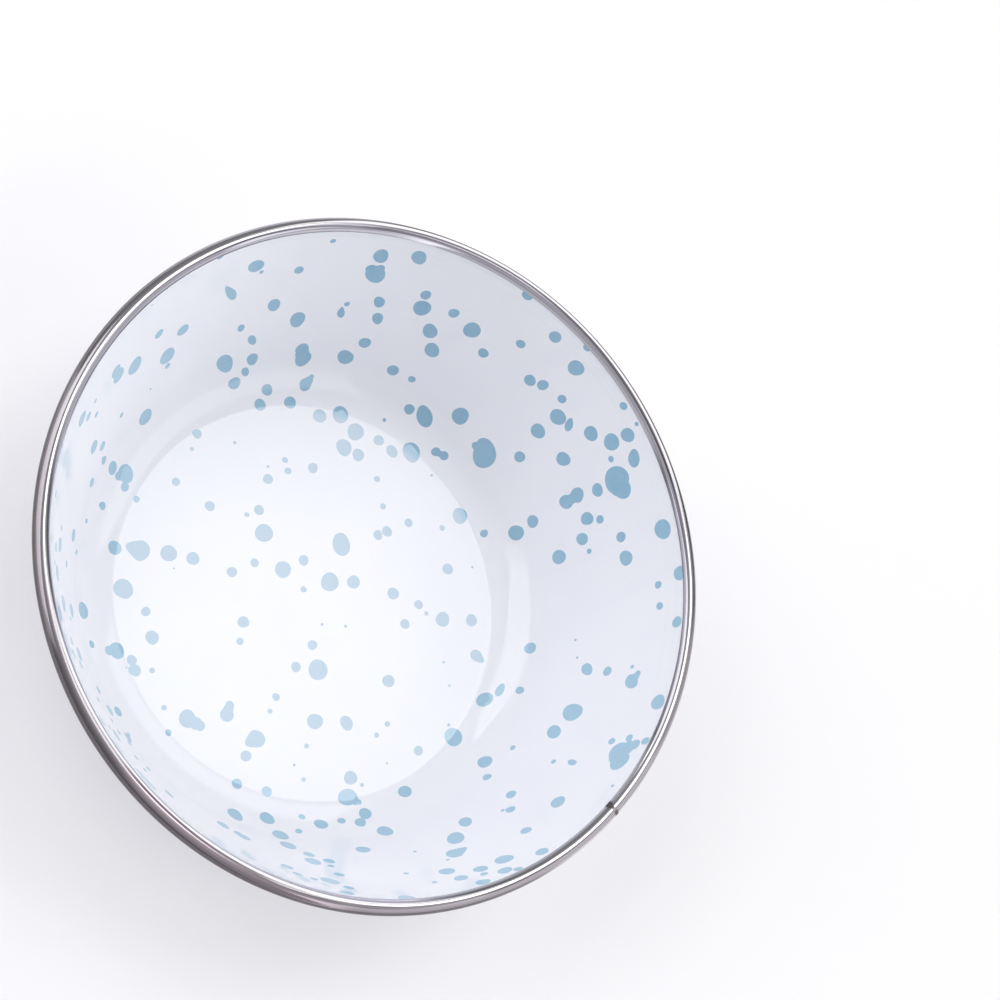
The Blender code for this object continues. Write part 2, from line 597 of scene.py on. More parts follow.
        # Darkening at the toe under the bead and at the seam
        toe = 1.0 - sheet.step(angle, start=-1.75, end=-1.20)
        darkened = sheet.math("MAXIMUM", toe, self.seam(sheet, x, y, angle, patches))
        sheet.surface({
            "Base Color": sheet.blend(darkened, colour, self.darkening),
            "Metallic": 1.0,
            "Roughness": self.gloss + lines * self.line_dulling + darkened * self.grime_dulling,
            "Normal": sheet.bump(lines * 0.7 + hairs * 0.3, distance=0.00002, strength=0.25),
        })

    def lip_tone(self, sheet: Sheet, east: Signal, north: Signal) -> bpy.types.NodeSocket:
        """Painted reflection and shade tones of the inside lip round the bowl.

        Args:
            sheet: The rim's sheet.
            east: First part of the direction from the bowl's axis.
            north: Second part of that direction.

        Returns:
            The colour's socket.
        """
        # Painted reflections: paler to the north, darker to the west, painted shade to the north-east
        tone = sheet.blend(sheet.step(north, start=0.0, end=0.6), self.lip_sheen, self.lip_glint)
        tone = sheet.blend(sheet.step(-1.0 * east, start=0.68, end=0.85), tone, self.west_lip)
        shaded = sheet.step(towards(east, north, self.dark_lip_azimuth), start=0.84, end=0.94)
        return sheet.blend(shaded, tone, self.lip_shade)

    def seam(self, sheet: Sheet, x: Signal, y: Signal, angle: Signal, patches: Signal) -> Signal:
        """Darkening at the butted ends: a smudge on the inside, a notch on the flank, none on the crown.

        Args:
            sheet: The rim's sheet.
            x: First coordinate of the place.
            y: Second coordinate of the place.
            angle: Angle round the bead's section.
            patches: Soft noise for an uneven edge.

        Returns:
            How much of the darkening shows.
        """
        along = sheet.math("ABSOLUTE", y * cos(self.seam_azimuth) - x * sin(self.seam_azimuth))
        this_side = sheet.step(towards(x, y, self.seam_azimuth), start=0.05, end=0.06)
        inside = sheet.step(angle, start=1.84, end=2.04)
        outside = 1.0 - sheet.step(angle, start=1.16, end=1.34)
        length = self.smudge_crown + self.smudge_inside * inside + self.smudge_outside * outside
        spread = 1.0 - sheet.step(along / length + patches * 0.5, start=0.75, end=1.45)
        return self.seam_share * this_side * spread * sheet.math("MAXIMUM", inside, outside)


@dataclass(frozen=True)
class SeamBraze(Finish):
    """Dull braze between the butted ends of the strip, grimy beside the crown."""

    bead_centre: Point
    crown: Colour = (0.30, 0.285, 0.29)
    dark: Colour = (0.085, 0.074, 0.076)
    light: Colour = (0.140, 0.128, 0.130)

    def paint(self, sheet: Sheet) -> None:
        """Lay out the lumps and the rubbed crown.

        Args:
            sheet: The empty sheet.
        """
        place = sheet.place()
        x, y, z = sheet.axes(place)
        angle = sheet.bead_angle(sheet.reach(x, y), z, self.bead_centre)
        lumps = sheet.noise(place, scale=2600.0, detail=3.0)
        banded = sheet.step(angle, start=1.15, end=1.40) * (1.0 - sheet.step(angle, start=1.62, end=1.85))
        colour = sheet.blend(sheet.step(lumps, start=0.4, end=0.7), self.dark, self.light)
        sheet.surface({
            "Base Color": sheet.blend(banded, colour, self.crown),
            "Metallic": 0.8,
            "Roughness": 0.36 + lumps * 0.2,
            "Normal": sheet.bump(lumps, distance=0.00002, strength=0.3),
        })


@dataclass(frozen=True)
class ShellSteel(Finish):
    """Pressed steel between the two coats, dull grey with a rolled grain."""

    light: Colour = (0.36, 0.35, 0.34)
    dark: Colour = (0.24, 0.235, 0.23)

    def paint(self, sheet: Sheet) -> None:
        """Lay out the rolled grain.

        Args:
            sheet: The empty sheet.
        """
        x, y, z = sheet.axes(sheet.place())
        grain = sheet.noise(sheet.vector(x * 40.0, y * 900.0, z * 900.0), scale=1.0, detail=3.0)
        sheet.surface({
            "Base Color": sheet.blend(grain, self.light, self.dark),
            "Metallic": 1.0,
            "Roughness": 0.35 + grain * 0.2,
            "Normal": sheet.bump(grain, distance=0.00003, strength=0.3),
        })


@dataclass(frozen=True)
class PaleFloor(Finish):
    """Plain matt studio floor."""

    pale: Colour = (0.862, 0.854, 0.868)
    dusty: Colour = (0.852, 0.843, 0.859)

    def paint(self, sheet: Sheet) -> None:
        """Lay out a faint unevenness.

        Args:
            sheet: The empty sheet.
        """
        clouds = sheet.noise(sheet.place(), scale=6.0, detail=3.0)
        sheet.surface({
            "Base Color": sheet.blend(clouds, self.pale, self.dusty),
            "Roughness": 0.9,
            "Specular IOR Level": 0.1,
        })


def deselect_all() -> None:
    """Leave nothing selected and no object in edit mode."""
    if bpy.context.object and bpy.context.object.mode != "OBJECT":
        bpy.ops.object.mode_set(mode="OBJECT")
    bpy.ops.object.select_all(action="DESELECT")


def finish_piece(piece: bpy.types.Object, name: str, material: bpy.types.Material) -> None:
    """Name, dress and seat a finished piece.

    Args:
        piece: The piece, already in its place.
        name: Its name.
        material: Its finish.
    """
    piece.name = name
    piece.data.name = name
    piece.data.materials.clear()
    piece.data.materials.append(material)
    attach(piece, BODY)
    LOG.info("%s: %d faces", name, len(piece.data.polygons))


@dataclass(frozen=True)
class BowlLine:
    """The line whose turning gives the face of the inside enamel.

    It runs from the axis over the flat floor, round the corner, up the wall and
    over the rolled lip. Every other face of the wall is an offset of it. A place
    on it is given by its distance along the line from the axis.
    """

    rim_radius: float
    height: float
    floor_radius: float = 0.0443
    corner_radius: float = 0.0140
    wall_radius: float = 0.200
    wall_thickness: float = 0.0013
    roll_radius: float = 0.0014
    roll_end: float = radians(70)
    bead_radius: float = 0.00185
    floor_rings: tuple[float, ...] = (0.0, 0.25, 0.5, 0.75, 0.93, 0.99)
    corner_steps: int = 24
    wall_steps: int = 20
    roll_steps: int = 8

    @property
    def bead_centre(self) -> Point:
        """Middle of the rolled lip's section."""
        return self.rim_radius - self.bead_radius, self.height - self.bead_radius

    @property
    def corner_centre(self) -> Point:
        """Middle of the arc between the floor and the wall."""
        return self.floor_radius, self.wall_thickness + self.corner_radius

    @property
    def wall_centre(self) -> Point:
        """Middle of the wall's large arc, which meets the corner and the roll without a kink.

        Returns:
            Its radius and height.
        """
        from_corner = self.wall_radius - self.corner_radius
        from_roll = self.wall_radius + self.roll_radius
        corner, bead = self.corner_centre, self.bead_centre
        across, up = bead[0] - corner[0], bead[1] - corner[1]
        apart = hypot(across, up)
        along = (from_corner ** 2 - from_roll ** 2 + apart ** 2) / (2 * apart)
        aside = sqrt(from_corner ** 2 - along ** 2)
        return (
            corner[0] + (along * across - aside * up) / apart,
            corner[1] + (along * up + aside * across) / apart,
        )

    def slope_towards(self, other: Point) -> float:
        """Slope of the line where the wall's arc touches an arc with this centre."""
        centre = self.wall_centre
        return atan2(other[0] - centre[0], centre[1] - other[1])

    @property
    def foot_slope(self) -> float:
        """Slope where the corner becomes the wall."""
        return self.slope_towards(self.corner_centre)

    @property
    def roll_slope(self) -> float:
        """Slope where the wall becomes the rolled lip."""
        return self.slope_towards(self.bead_centre)

    @property
    def foot(self) -> float:
        """Distance along the line to the foot of the wall."""
        return self.floor_radius + self.corner_radius * self.foot_slope

    @property
    def lip(self) -> float:
        """Distance along the line to the top of the wall."""
        return self.foot + self.wall_radius * (self.roll_slope - self.foot_slope)

    def arc(self, centre: Point, radius: float, start: float, end: float, steps: int) -> list[Point]:
        """Points on an arc.

        Args:
            centre: Middle of the arc.
            radius: Its radius; a negative one turns outwards.
            start: Slope at the first point.
            end: Slope at the last point.
            steps: Number of pieces.

        Returns:
            The points, both ends included.
        """
        slopes = [start + (end - start) * step / steps for step in range(steps + 1)]
        return [(centre[0] + radius * sin(slope), centre[1] - radius * cos(slope)) for slope in slopes]

    def layer(self, depth: float) -> list[Point]:
        """The line at a depth under the inside face.

        Args:
            depth: Depth in metres.

        Returns:
            Points from the axis to the end of the roll.
        """
        points = [(self.floor_radius * ring, self.wall_thickness - depth) for ring in self.floor_rings]
        foot, roll = self.foot_slope, self.roll_slope
        points += self.arc(self.corner_centre, self.corner_radius + depth, 0.0, foot, self.corner_steps)
        points += self.arc(self.wall_centre, self.wall_radius + depth, foot, roll, self.wall_steps)[1:]
        turned_out = depth - self.roll_radius
        points += self.arc(self.bead_centre, turned_out, roll, self.roll_end - pi / 2, self.roll_steps)[1:]
        return points

    def at(self, along: float) -> tuple[float, float, float]:
        """A place on the line.

        Args:
            along: Distance from the axis.

        Returns:
            Its radius, height and slope.
        """
        if along <= self.floor_radius:
            return along, self.wall_thickness, 0.0
        if along <= self.foot:
            slope = (along - self.floor_radius) / self.corner_radius
            centre, radius = self.corner_centre, self.corner_radius
        else:
            slope = self.foot_slope + (along - self.foot) / self.wall_radius
            centre, radius = self.wall_centre, self.wall_radius
        return centre[0] + radius * sin(slope), centre[1] - radius * cos(slope), slope

    def along_at(self, radius: float) -> float:
        """Distance along the line at a radius, on the floor, corner or wall.

        Args:
            radius: Distance from the axis.

        Returns:
            The distance along the line.
        """
        if radius <= self.floor_radius:
            return radius
        if radius < self.at(self.foot)[0]:
            slope = asin((radius - self.floor_radius) / self.corner_radius)
            return self.floor_radius + self.corner_radius * slope
        slope = asin((radius - self.wall_centre[0]) / self.wall_radius)
        return self.foot + self.wall_radius * (slope - self.foot_slope)

    def skin(self, along: float, azimuth: float, lift: float, face: Face) -> Vector:
        """A point on or near one of the wall's faces.

        Args:
            along: Distance along the line.
            azimuth: Angle round the axis.
            lift: How far the point stands off the face.
            face: Which face.

        Returns:
            The point.
        """
        radius, height, slope = self.at(along)
        off = lift if face is Face.INSIDE else -self.wall_thickness - lift
        radius -= off * sin(slope)
        height += off * cos(slope)
        return Vector((radius * cos(azimuth), radius * sin(azimuth), height))


@dataclass(frozen=True)
class PhotoView:
    """The camera, set by where the rim stands in the photograph.

    The bowl lies tipped and turned in the photograph. Here it stands on its
    base, and the camera has the tilt and the roll instead.

    Attributes:
        target: Middle of the rim.
        rim_x: Pixel column of the middle of the rim.
        rim_y: Pixel row of the middle of the rim.
        tilt: Angle between the line of sight and the bowl's axis.
        roll: Turn of the camera about its line of sight.
        distance: From the camera to the middle of the rim, along the line of sight.
    """

    target: Vector
    rim_x: float = 383.2
    rim_y: float = 556.2
    tilt: float = radians(28.93)
    roll: float = radians(60.79)
    distance: float = 0.5251
    lens_mm: float = 88.37
    sensor_mm: float = 36.0
    image_side: float = 1000.0
    clip_start: float = 0.01
    halvings: int = 40

    @property
    def focal(self) -> float:
        """Focal length in pixels."""
        return self.lens_mm / self.sensor_mm * self.image_side

    @property
    def axes(self) -> tuple[Vector, Vector, Vector]:
        """The camera's own axes.

        Returns:
            Its right, up and backward directions.
        """
        back = Vector((0.0, -sin(self.tilt), cos(self.tilt)))
        level = Vector((1.0, 0.0, 0.0))
        rise = back.cross(level)
        right = cos(self.roll) * level + sin(self.roll) * rise
        return right, back.cross(right), back

    @property
    def eye(self) -> Vector:
        """Where the camera stands.

        Returns:
            The camera's place.
        """
        right, up, back = self.axes
        metres_per_pixel = self.distance / self.focal
        aside = (self.rim_x - self.image_side / 2) * metres_per_pixel
        below = (self.rim_y - self.image_side / 2) * metres_per_pixel
        return self.target + self.distance * back - aside * right + below * up

    def pixel(self, point: Vector) -> Point:
        """Where a point shows in the image.

        Args:
            point: The point.

        Returns:
            Pixel column and row.
        """
        right, up, back = self.axes
        ray = point - self.eye
        depth = -ray.dot(back)
        middle = self.image_side / 2
        return middle + self.focal * ray.dot(right) / depth, middle - self.focal * ray.dot(up) / depth

    def sight(self, x: float, y: float) -> Vector:
        """Line of sight through a pixel.

        Args:
            x: Pixel column.
            y: Pixel row.

        Returns:
            The way from the camera, one metre deep.
        """
        right, up, back = self.axes
        middle = self.image_side / 2
        return (x - middle) / self.focal * right - (y - middle) / self.focal * up - back

    def seen_place(self, x: float, y: float, line: BowlLine) -> Point:
        """Where the line of sight through a pixel meets the inside face.

        Args:
            x: Pixel column.
            y: Pixel row.
            line: The bowl's line.

        Returns:
            Distance along the line and azimuth.
        """
        eye, sight = self.eye, self.sight(x, y)
        near = (line.height - eye.z) / sight.z
        far = (line.wall_thickness - eye.z) / sight.z
        lip_radius = line.at(line.lip)[0]
        for _ in range(self.halvings):
            middle = (near + far) / 2
            point = eye + middle * sight
            radius = hypot(point.x, point.y)
            inside = radius < lip_radius and point.z > line.at(line.along_at(radius))[1]
            near, far = (middle, far) if inside else (near, middle)
        point = eye + far * sight
        radius = min(lip_radius, hypot(point.x, point.y))
        return line.along_at(radius), atan2(point.y, point.x)

    def build(self) -> None:
        """Make the camera and give it to the scene."""
        data = bpy.data.cameras.new("photo_view")
        data.lens = self.lens_mm
        data.sensor_width = self.sensor_mm
        data.clip_start = self.clip_start
        camera = bpy.data.objects.new("photo_view", data)
        bpy.context.scene.collection.objects.link(camera)
        right, up, back = self.axes
        turn = Matrix((right, up, back)).transposed().to_4x4()
        camera.matrix_world = Matrix.Translation(self.eye) @ turn
        bpy.context.scene.camera = camera


@dataclass(frozen=True)
class Sweep:
    """One stretch of a turning."""

    angle: float
    steps: int


def turned(section: Sequence[Point], start: float, sweeps: Iterable[Sweep]) -> bpy.types.Object:
    """Turn a closed section round the bowl's axis.

    Args:
        section: Radius and height of each corner of the section.
        start: Azimuth where the turning starts, anticlockwise.
        sweeps: The stretches of the turning, one after the other.

    Returns:
        The turned object, closed, with its faces outwards.
    """
    deselect_all()
    bpy.ops.mesh.primitive_circle_add(vertices=len(section), radius=0.01, fill_type="NOTHING")
    piece = bpy.context.object
    for vertex, (radius, height) in zip(piece.data.vertices, section):
        vertex.co = (radius * cos(start), radius * sin(start), height)
    bpy.ops.object.mode_set(mode="EDIT")
    bpy.ops.mesh.select_all(action="SELECT")
    for sweep in sweeps:
        bpy.ops.mesh.spin(steps=sweep.steps, angle=sweep.angle, center=(0, 0, 0), axis=(0, 0, -1))
    bpy.ops.mesh.select_all(action="SELECT")
    bpy.ops.mesh.remove_doubles(threshold=MERGE_DISTANCE)
    bpy.ops.mesh.delete_loose(use_verts=True, use_edges=True, use_faces=False)
    bpy.ops.mesh.select_all(action="SELECT")
    bpy.ops.mesh.fill_holes(sides=0)
    bpy.ops.mesh.select_all(action="SELECT")
    bpy.ops.mesh.normals_make_consistent(inside=False)
    bpy.ops.object.mode_set(mode="OBJECT")
    bpy.ops.object.shade_smooth_by_angle(angle=SHARP_ANGLE)
    return piece


@dataclass
class Wall:
    """The pressed shell and its two enamel coats."""

    line: BowlLine
    coat_thickness: float = 0.00025
    steel_thickness: float = 0.0007
    bond_gap: float = 0.00005
    turn_steps: int = 256

    def build_layer(self, near: float, far: float) -> bpy.types.Object:
        """One layer between two depths under the inside face."""
        section = self.line.layer(near) + self.line.layer(far)[::-1]
        return turned(section, 0.0, [Sweep(2 * pi, self.turn_steps)])

    def build(self) -> None:
        """Build and dress the three layers."""
        inside_end = self.coat_thickness
        steel_start = inside_end + self.bond_gap
        steel_end = steel_start + self.steel_thickness
        outside_start = steel_end + self.bond_gap

        inside = self.build_layer(0.0, inside_end)
        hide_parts("inner_enamel")
        finish_piece(inside, "inside_coat", WhiteEnamel("inside_white").material())

        steel = self.build_layer(steel_start, steel_end)
        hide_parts("steel_shell")
        finish_piece(steel, "pressed_shell", ShellSteel("shell_grey").material())

        outside = self.build_layer(outside_start, self.line.wall_thickness)
        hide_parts("outer_enamel")
        finish_piece(outside, "outside_coat", WhiteEnamel("outside_white").material())


@dataclass
class RimStrip:
    """The stainless strip closed over the rolled lip, butted at a seam."""

    line: BowlLine
    thickness: float = 0.00035
    fit: float = 0.0001
    core_radius: float = 0.0001
    lip_angle: float = radians(152)
    seam_azimuth: float = radians(14)
    seam_gap: float = 0.0008
    end_length: float = 0.0030
    end_steps: int = 10
    turn_steps: int = 300
    outer_steps: int = 40
    inner_steps: int = 16
    pinch: float = 0.00002
    pinch_length: float = 0.0009
    braze_depth: float = 0.000015
    braze_clearance: float = 0.00001
    braze_steps: int = 4

    @property
    def inner_radius(self) -> float:
        """Radius of the strip's inside round the middle of the bead."""
        return self.line.bead_radius - self.thickness

    def section(self, outer_radius: float) -> list[Point]:
        """C-shaped section, from the inside lip over the top to the outer wall and back.

        Args:
            outer_radius: Radius of its outside round the middle of the bead.

        Returns:
            The closed section's corners.
        """
        centre = self.line.bead_centre
        toe_angle = self.line.roll_slope - pi + asin((self.fit - self.core_radius) / self.inner_radius)
        points = []
        for radius, steps, start, end in (
            (outer_radius, self.outer_steps, self.lip_angle, toe_angle),
            (self.inner_radius, self.inner_steps, toe_angle, self.lip_angle),
        ):
            for step in range(steps + 1):
                angle = start + (end - start) * step / steps
                points.append((centre[0] + radius * cos(angle), centre[1] + radius * sin(angle)))
        return points

    def pinch_ends(self, piece: bpy.types.Object) -> None:
        """Draw the strip in a little towards the seam, as its ends are pressed down.

        Args:
            piece: The turned strip.
        """
        centre = self.line.bead_centre
        for vertex in piece.data.vertices:
            radius = hypot(vertex.co.x, vertex.co.y)
            azimuth = atan2(vertex.co.y, vertex.co.x)
            across, up = radius - centre[0], vertex.co.z - centre[1]
            apart = hypot(across, up)
            if apart < self.line.bead_radius - self.thickness / 2:
                continue
            from_seam = abs(azimuth - self.seam_azimuth) * centre[0] - self.seam_gap / 2
            drawn_in = 1.0 - self.pinch / apart * max(0.0, 1.0 - from_seam / self.pinch_length) ** 2
            radius = centre[0] + across * drawn_in
            vertex.co = (radius * cos(azimuth), radius * sin(azimuth), centre[1] + up * drawn_in)

    def build(self) -> None:
        """Build and dress the strip and the braze in its seam."""
        bead_radius = self.line.bead_centre[0]
        half_gap = asin(self.seam_gap / 2 / bead_radius)
        end = Sweep(self.end_length / bead_radius, self.end_steps)
        middle = Sweep(2 * pi - 2 * half_gap - 2 * end.angle, self.turn_steps)
        section = self.section(self.line.bead_radius)
        strip = turned(section, self.seam_azimuth + half_gap, [end, middle, end])
        self.pinch_ends(strip)
        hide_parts("rim_band")
        finish = RimStainless("rim_drawn", self.line.bead_centre, self.seam_azimuth)
        finish_piece(strip, "rim_strip", finish.material())

        half_braze = half_gap - self.braze_clearance / bead_radius
        section = self.section(self.line.bead_radius - self.braze_depth)
        braze = turned(section, self.seam_azimuth - half_braze, [Sweep(2 * half_braze, self.braze_steps)])
        filler = SeamBraze("seam_dark", self.line.bead_centre)
        finish_piece(braze, "seam_braze", filler.material())


@dataclass(frozen=True)
class Drop:
    """One drop of blue enamel, read off the photograph.

    Attributes:
        x: Pixel column of its middle.
        y: Pixel row of its middle.
        size: Mean width in pixels.
        tail: How far one end is drawn out; 0 for a round drop.
        heading: Where that end, or the length of a long drop, points in the image, in degrees
            anticlockwise from the right.
        stretch: Length over width in the image, for a drop that isn't round on the wall.
    """

    x: float
    y: float
    size: float
    tail: float = 0.0
    heading: float = 90.0
    stretch: Optional[float] = None


@dataclass(frozen=True)
class Spot:
    """A drop in its place on a face of the wall.

    Attributes:
        along: Distance along the bowl's line.
        azimuth: Angle round the axis.
        radius: Mean radius in metres.
        stretch: Length over width.
        lean: Angle of the length from the uphill direction.
        tail: How far one end is drawn out.
        turn: Angle of that end from the uphill direction.
    """

    along: float
    azimuth: float
    radius: float
    stretch: float
    lean: float
    tail: float
    turn: float


UPPER_WALL = (
    Drop(x=256, y=266, size=13.4, heading=28, stretch=1.75), Drop(x=261.5, y=272, size=3.8),
    Drop(x=299, y=270, size=8.2, heading=25, stretch=1.6), Drop(x=333, y=241, size=4.9),
    Drop(x=221, y=256, size=6.0), Drop(x=381, y=256, size=14.3, heading=15, stretch=1.25),
    Drop(x=375.3, y=274.2, size=18.6, heading=0, stretch=1.12), Drop(x=371, y=268.5, size=9.0),
    Drop(x=380, y=268.5, size=8.5), Drop(x=419, y=257.5, size=14.3, heading=0, stretch=1.22),
    Drop(x=231, y=293.5, size=11.6, tail=0.42, heading=122, stretch=1.15),
    Drop(x=274, y=305, size=12.2, heading=38, stretch=1.35),
    Drop(x=297.5, y=319.5, size=14.9, heading=38, stretch=1.3),
    Drop(x=341, y=313, size=8.6, tail=0.35, heading=75, stretch=1.35), Drop(x=347, y=304, size=5.0),
    Drop(x=379.3, y=302, size=11.0, heading=5, stretch=1.12),
    Drop(x=377.6, y=318.4, size=11.2, heading=-45, stretch=1.05),
    Drop(x=425.7, y=295, size=10.0, heading=8, stretch=1.3),
    Drop(x=422, y=308, size=16.4, heading=0, stretch=1.15),
    Drop(x=430, y=331, size=14.7, heading=0, stretch=1.08),
    Drop(x=432, y=350, size=14.6, heading=-45, stretch=1.04), Drop(x=183, y=330, size=10.0),
    Drop(x=241, y=328, size=7.0, heading=40, stretch=1.35),
    Drop(x=252, y=340, size=9.0, heading=90, stretch=1.05),
    Drop(x=224.8, y=363.3, size=16.8, heading=45, stretch=1.15),
    Drop(x=252.2, y=359, size=11.2, heading=42, stretch=1.3),
    Drop(x=245.2, y=371.7, size=8.3, heading=80, stretch=1.15),
    Drop(x=234.3, y=383.2, size=12.0, heading=50, stretch=1.2), Drop(x=302.1, y=349.4, size=12.5),
    Drop(x=302.5, y=353.8, size=13.2), Drop(x=302.9, y=358.4, size=15.2),
    Drop(x=305.2, y=384.6, size=12.4, heading=50, stretch=1.12), Drop(x=308.7, y=380.6, size=8.8),
    Drop(x=311.4, y=377, size=5.2), Drop(x=345.3, y=357, size=15.0, heading=12, stretch=1.2),
    Drop(x=364.8, y=342.8, size=11.0, heading=8, stretch=1.25), Drop(x=392.9, y=370.3, size=11.0),
    Drop(x=411.8, y=379.2, size=7.0, heading=0, stretch=1.25), Drop(x=267, y=389.8, size=11.4),
    Drop(x=260, y=404.8, size=11.7), Drop(x=290, y=402.6, size=12.0), Drop(x=384.3, y=420, size=4.0),
    Drop(x=409.3, y=409.2, size=10.5),
    Drop(x=424.6, y=416.6, size=18.6, tail=0.12, heading=102, stretch=1.3),
    Drop(x=460.3, y=416, size=17.0, heading=110, stretch=1.06),
    Drop(x=411.3, y=452.4, size=18.5, heading=-58, stretch=1.28), Drop(x=435.8, y=451.8, size=9.2),
    Drop(x=444, y=455.8, size=9.2), Drop(x=440, y=453.8, size=6.5),
    Drop(x=484.5, y=453.2, size=26.8, heading=98, stretch=1.2), Drop(x=475.8, y=445.6, size=8.0),
)

RIGHT_WALL = (
    Drop(x=453.8, y=313.2, size=10.0, heading=0, stretch=1.2),
    Drop(x=472, y=330, size=16.4, heading=-10, stretch=1.14), Drop(x=483.3, y=353, size=10.0),
    Drop(x=520.7, y=344, size=9.0), Drop(x=555.2, y=337, size=11.9), Drop(x=528, y=295, size=11.0),
    Drop(x=590, y=346, size=8.0), Drop(x=576, y=368, size=16.0), Drop(x=530, y=380.3, size=11.5),
    Drop(x=542.8, y=385, size=11.0, heading=0, stretch=1.2), Drop(x=562, y=399, size=8.8),
    Drop(x=558, y=417, size=16.0),
    Drop(x=568.9, y=425.2, size=10.2, tail=0.3, heading=75, stretch=1.55),
    Drop(x=538, y=431, size=14.6), Drop(x=591, y=433.5, size=14.4), Drop(x=611.6, y=442, size=16.4),
    Drop(x=627.7, y=435, size=14.0), Drop(x=623.5, y=406, size=8.0), Drop(x=636.6, y=424, size=4.2),
    Drop(x=519.7, y=456.8, size=11.0), Drop(x=563.3, y=459, size=14.0), Drop(x=611, y=459, size=6.0),
    Drop(x=634, y=458.6, size=14.3, tail=0.1, heading=93, stretch=1.6),
    Drop(x=616.8, y=479.8, size=26.0), Drop(x=619.5, y=485, size=22.5), Drop(x=623, y=489.6, size=17.5),
    Drop(x=597.5, y=490, size=12.2, heading=92, stretch=1.25), Drop(x=577.2, y=495, size=14.2),
    Drop(x=566.3, y=501.8, size=14.0), Drop(x=571.5, y=499, size=10.5),
    Drop(x=587.1, y=518.6, size=12.8), Drop(x=600, y=519.4, size=8.0), Drop(x=582.2, y=539, size=12.0),
    Drop(x=589.2, y=551.2, size=5.0), Drop(x=559, y=557, size=14.0), Drop(x=621, y=537, size=10.0),
    Drop(x=626, y=558, size=14.0), Drop(x=662.8, y=529.2, size=18.0), Drop(x=516.2, y=532.8, size=15.5),
    Drop(x=532.7, y=521.4, size=12.0), Drop(x=484, y=533.5, size=8.0), Drop(x=680, y=573, size=13.5),
    Drop(x=658.2, y=584.8, size=7.2), Drop(x=659.7, y=606, size=7.2), Drop(x=676.9, y=622, size=10.2),
    Drop(x=530.2, y=648.2, size=11.4), Drop(x=587, y=669.3, size=11.7, heading=70, stretch=1.1),
    Drop(x=607.4, y=671.3, size=8.8), Drop(x=631.6, y=681.4, size=13.6, heading=52, stretch=1.12),
    Drop(x=635.6, y=676.4, size=8.0), Drop(x=638, y=673.2, size=5.4), Drop(x=632.3, y=666.8, size=3.8),
    Drop(x=658, y=702.2, size=14.0), Drop(x=572.5, y=712.2, size=18.3, heading=20, stretch=1.25),
    Drop(x=554, y=731.9, size=13.5, heading=45, stretch=1.15), Drop(x=512.8, y=747.7, size=5.0),
    Drop(x=553.5, y=761.6, size=4.4), Drop(x=572.1, y=762.4, size=7.4, heading=5, stretch=1.45),
    Drop(x=611.8, y=741.2, size=6.5), Drop(x=629.3, y=738, size=6.8), Drop(x=629, y=742.5, size=5.0),
    Drop(x=645.4, y=741, size=7.5), Drop(x=619.2, y=752, size=19.0), Drop(x=616.6, y=756.6, size=13.4),
    Drop(x=619.5, y=761, size=17.2), Drop(x=627.6, y=748, size=13.5), Drop(x=634.6, y=744.7, size=10.0),
    Drop(x=612.5, y=786, size=3.0), Drop(x=575.5, y=640, size=2.6), Drop(x=577.2, y=657.5, size=2.4),
)

